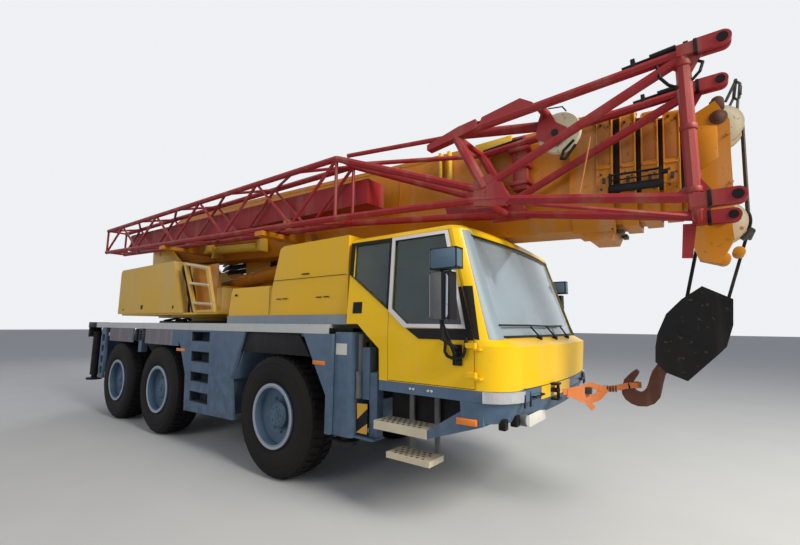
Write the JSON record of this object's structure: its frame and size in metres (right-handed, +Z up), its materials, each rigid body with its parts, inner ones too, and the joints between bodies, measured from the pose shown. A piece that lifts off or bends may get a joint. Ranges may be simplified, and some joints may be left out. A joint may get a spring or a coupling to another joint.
{
  "type": "three-axle all-terrain mobile crane",
  "caption": "Full-size road-going telescopic crane with slewing upper, luffing boom, folded lattice jib, hook block, steered wheels, outriggers and opening doors.",
  "frame": {"origin": "on the ground under the middle of the overall length and width, wheels resting on the ground", "axes": "+X forward along the carrier towards the cab, +Y to the crane's left, +Z up"},
  "size_m": [11.0798, 3.11, 4.0268],
  "materials": {
    "yellow_paint": "semi-gloss paint, dusty",
    "boom_paint": "semi-gloss paint, sun-faded",
    "counterweight_tan": "faded matt paint",
    "carrier_blue": "satin paint with road dust",
    "carrier_steel": "dusty chassis paint",
    "deck_grey": "scuffed tread plate",
    "step_cream": "dirty perforated plate",
    "tyre_rubber": "worn rubber",
    "rim_paint": "satin paint",
    "window_glass": "tinted",
    "dark_trim": "matt",
    "lamp_glass": "clear lens",
    "jib_red": "worn paint",
    "block_black": "satin paint",
    "hook_steel": "rusty forging",
    "cylinder_steel": "hard chrome"
  },
  "bodies": {
    "root": {"chassis_frame": "carrier_steel", "deck": "deck_grey", "side_panels": "carrier_blue", "fenders": "carrier_blue", "rear_bumper": "carrier_blue", "outrigger_boxes": "carrier_blue", "axles": "carrier_steel", "engine_cover": "yellow_paint", "engine_block": "carrier_steel", "cab_shell": "yellow_paint", "cab_glass": "window_glass", "cab_inside": "dark_trim", "front_bumper": "carrier_blue", "headlamps": "lamp_glass", "cab_steps": "step_cream"},
    "door_left_leaf": {"door_left": "yellow_paint", "mirror_left": "dark_trim"},
    "door_right_leaf": {"door_right": "yellow_paint", "mirror_right": "dark_trim"},
    "beam_front_left": {"outrigger_beam_front_left": "carrier_blue"},
    "jack_front_left": {"outrigger_jack_front_left": "carrier_blue"},
    "beam_front_right": {"outrigger_beam_front_right": "carrier_blue"},
    "jack_front_right": {"outrigger_jack_front_right": "carrier_blue"},
    "beam_rear_left": {"outrigger_beam_rear_left": "carrier_blue"},
    "jack_rear_left": {"outrigger_jack_rear_left": "carrier_blue"},
    "beam_rear_right": {"outrigger_beam_rear_right": "carrier_blue"},
    "jack_rear_right": {"outrigger_jack_rear_right": "carrier_blue"},
    "steer_1_left": {"knuckle_axle_1_left": "carrier_steel"},
    "steer_1_right": {"knuckle_axle_1_right": "carrier_steel"},
    "steer_3_left": {"knuckle_axle_3_left": "carrier_steel"},
    "steer_3_right": {"knuckle_axle_3_right": "carrier_steel"},
    "wheel_1_left": {"tyre_axle_1_left": "tyre_rubber", "rim_axle_1_left": "rim_paint"},
    "wheel_1_right": {"tyre_axle_1_right": "tyre_rubber", "rim_axle_1_right": "rim_paint"},
    "wheel_2_left": {"tyre_axle_2_left": "tyre_rubber", "rim_axle_2_left": "rim_paint"},
    "wheel_2_right": {"tyre_axle_2_right": "tyre_rubber", "rim_axle_2_right": "rim_paint"},
    "wheel_3_left": {"tyre_axle_3_left": "tyre_rubber", "rim_axle_3_left": "rim_paint"},
    "wheel_3_right": {"tyre_axle_3_right": "tyre_rubber", "rim_axle_3_right": "rim_paint"},
    "superstructure": {"turntable_frame": "yellow_paint", "counterweight": "counterweight_tan", "hoist_winch": "carrier_steel", "operator_cab": "yellow_paint", "operator_glass": "window_glass"},
    "operator_door_leaf": {"operator_door": "yellow_paint"},
    "luff_barrel_body": {"luff_barrel": "boom_paint"},
    "luff_rod_body": {"luff_rod": "cylinder_steel"},
    "boom": {"boom_base": "boom_paint", "jib_lattice": "jib_red", "jib_extension": "jib_red"},
    "telescope_1": {"boom_section_1": "boom_paint"},
    "telescope_2": {"boom_section_2": "boom_paint"},
    "telescope_3": {"boom_section_3": "boom_paint"},
    "telescope_4": {"boom_section_4": "boom_paint"},
    "hook_assembly": {"hook_block": "block_black", "hook": "hook_steel"}
  },
  "joints": [
    {"name": "steering_1_left", "type": "hinge", "parent": "root", "child": "steer_1_left", "pos_m": [1.08, 0.78, 0.7], "axis": [0, 0, 1], "range_deg": [-25, 25]},
    {"name": "steering_1_right", "type": "hinge", "parent": "root", "child": "steer_1_right", "pos_m": [1.08, -0.78, 0.7], "axis": [0, 0, 1], "range_deg": [-25, 25]},
    {"name": "steering_3_left", "type": "hinge", "parent": "root", "child": "steer_3_left", "pos_m": [-3.68, 0.78, 0.7], "axis": [0, 0, 1], "range_deg": [-15, 15]},
    {"name": "steering_3_right", "type": "hinge", "parent": "root", "child": "steer_3_right", "pos_m": [-3.68, -0.78, 0.7], "axis": [0, 0, 1], "range_deg": [-15, 15]},
    {"name": "roll_1_left", "type": "hinge", "parent": "steer_1_left", "child": "wheel_1_left", "pos_m": [1.08, 1.055, 0.7], "axis": [0, 1, 0], "continuous": true},
    {"name": "roll_1_right", "type": "hinge", "parent": "steer_1_right", "child": "wheel_1_right", "pos_m": [1.08, -1.055, 0.7], "axis": [0, 1, 0], "continuous": true},
    {"name": "roll_2_left", "type": "hinge", "parent": "root", "child": "wheel_2_left", "pos_m": [-1.97, 1.055, 0.7], "axis": [0, 1, 0], "continuous": true},
    {"name": "roll_2_right", "type": "hinge", "parent": "root", "child": "wheel_2_right", "pos_m": [-1.97, -1.055, 0.7], "axis": [0, 1, 0], "continuous": true},
    {"name": "roll_3_left", "type": "hinge", "parent": "steer_3_left", "child": "wheel_3_left", "pos_m": [-3.68, 1.055, 0.7], "axis": [0, 1, 0], "continuous": true},
    {"name": "roll_3_right", "type": "hinge", "parent": "steer_3_right", "child": "wheel_3_right", "pos_m": [-3.68, -1.055, 0.7], "axis": [0, 1, 0], "continuous": true},
    {"name": "door_right_hinge", "type": "hinge", "parent": "root", "child": "door_right_leaf", "pos_m": [3.686, -1.272, 1.5], "axis": [0, 0, 1], "range_deg": [0, 70]},
    {"name": "door_left_hinge", "type": "hinge", "parent": "root", "child": "door_left_leaf", "pos_m": [3.686, 1.272, 1.5], "axis": [0, 0, -1], "range_deg": [0, 70]},
    {"name": "outrigger_front_left", "type": "slide", "parent": "root", "child": "beam_front_left", "axis": [0, 1, 0], "range_m": [0, 1.6]},
    {"name": "jack_lift_front_left", "type": "slide", "parent": "beam_front_left", "child": "jack_front_left", "axis": [0, 0, -1], "range_m": [0, 0.55]},
    {"name": "outrigger_front_right", "type": "slide", "parent": "root", "child": "beam_front_right", "axis": [0, -1, 0], "range_m": [0, 1.6]},
    {"name": "jack_lift_front_right", "type": "slide", "parent": "beam_front_right", "child": "jack_front_right", "axis": [0, 0, -1], "range_m": [0, 0.55]},
    {"name": "outrigger_rear_left", "type": "slide", "parent": "root", "child": "beam_rear_left", "axis": [0, 1, 0], "range_m": [0, 1.6]},
    {"name": "jack_lift_rear_left", "type": "slide", "parent": "beam_rear_left", "child": "jack_rear_left", "axis": [0, 0, -1], "range_m": [0, 0.55]},
    {"name": "outrigger_rear_right", "type": "slide", "parent": "root", "child": "beam_rear_right", "axis": [0, -1, 0], "range_m": [0, 1.6]},
    {"name": "jack_lift_rear_right", "type": "slide", "parent": "beam_rear_right", "child": "jack_rear_right", "axis": [0, 0, -1], "range_m": [0, 0.55]},
    {"name": "slewing", "type": "hinge", "parent": "root", "child": "superstructure", "pos_m": [-2.31, 0, 1.805], "axis": [0, 0, 1], "continuous": true},
    {"name": "operator_door_slide", "type": "slide", "parent": "superstructure", "child": "operator_door_leaf", "axis": [-1, 0, 0], "range_m": [0, 0.6]},
    {"name": "luffing", "type": "hinge", "parent": "superstructure", "child": "boom", "pos_m": [-4.42, 0, 3.267], "axis": [0, -1, 0], "range_deg": [0, 78]},
    {"name": "luff_cylinder_tilt", "type": "hinge", "parent": "superstructure", "child": "luff_barrel_body", "pos_m": [-3.12, 0, 2.35], "axis": [0, -1, 0], "range_deg": [0, 81.62]},
    {"name": "luff_cylinder_stroke", "type": "slide", "parent": "luff_barrel_body", "child": "luff_rod_body", "axis": [0.9936, 0, 0.1133], "range_m": [0, 2.1609]},
    {"name": "telescope_1_slide", "type": "slide", "parent": "boom", "child": "telescope_1", "axis": [0.999, 0, -0.0436], "range_m": [0, 7]},
    {"name": "telescope_2_slide", "type": "slide", "parent": "telescope_1", "child": "telescope_2", "axis": [0.999, 0, -0.0436], "range_m": [0, 7]},
    {"name": "telescope_3_slide", "type": "slide", "parent": "telescope_2", "child": "telescope_3", "axis": [0.999, 0, -0.0436], "range_m": [0, 7]},
    {"name": "telescope_4_slide", "type": "slide", "parent": "telescope_3", "child": "telescope_4", "axis": [0.999, 0, -0.0436], "range_m": [0, 7]},
    {"name": "hook_swing", "type": "hinge", "parent": "telescope_4", "child": "hook_assembly", "pos_m": [5.33, 0, 2.625], "axis": [0, -1, 0], "range_deg": [-49, 0]}
  ],
  "couplings": [
    {"joint": "steering_1_right", "follows": "steering_1_left", "ratio": 1},
    {"joint": "steering_3_left", "follows": "steering_1_left", "ratio": -0.6},
    {"joint": "steering_3_right", "follows": "steering_1_left", "ratio": -0.6},
    {"joint": "luff_cylinder_tilt", "follows": "luffing", "ratio": 1.04},
    {"joint": "luff_cylinder_stroke", "follows": "luffing", "m_per_rad": 1.58},
    {"joint": "telescope_2_slide", "follows": "telescope_1_slide", "ratio": 1},
    {"joint": "telescope_3_slide", "follows": "telescope_1_slide", "ratio": 1},
    {"joint": "telescope_4_slide", "follows": "telescope_1_slide", "ratio": 1},
    {"joint": "hook_swing", "follows": "luffing", "ratio": -0.62}
  ]
}
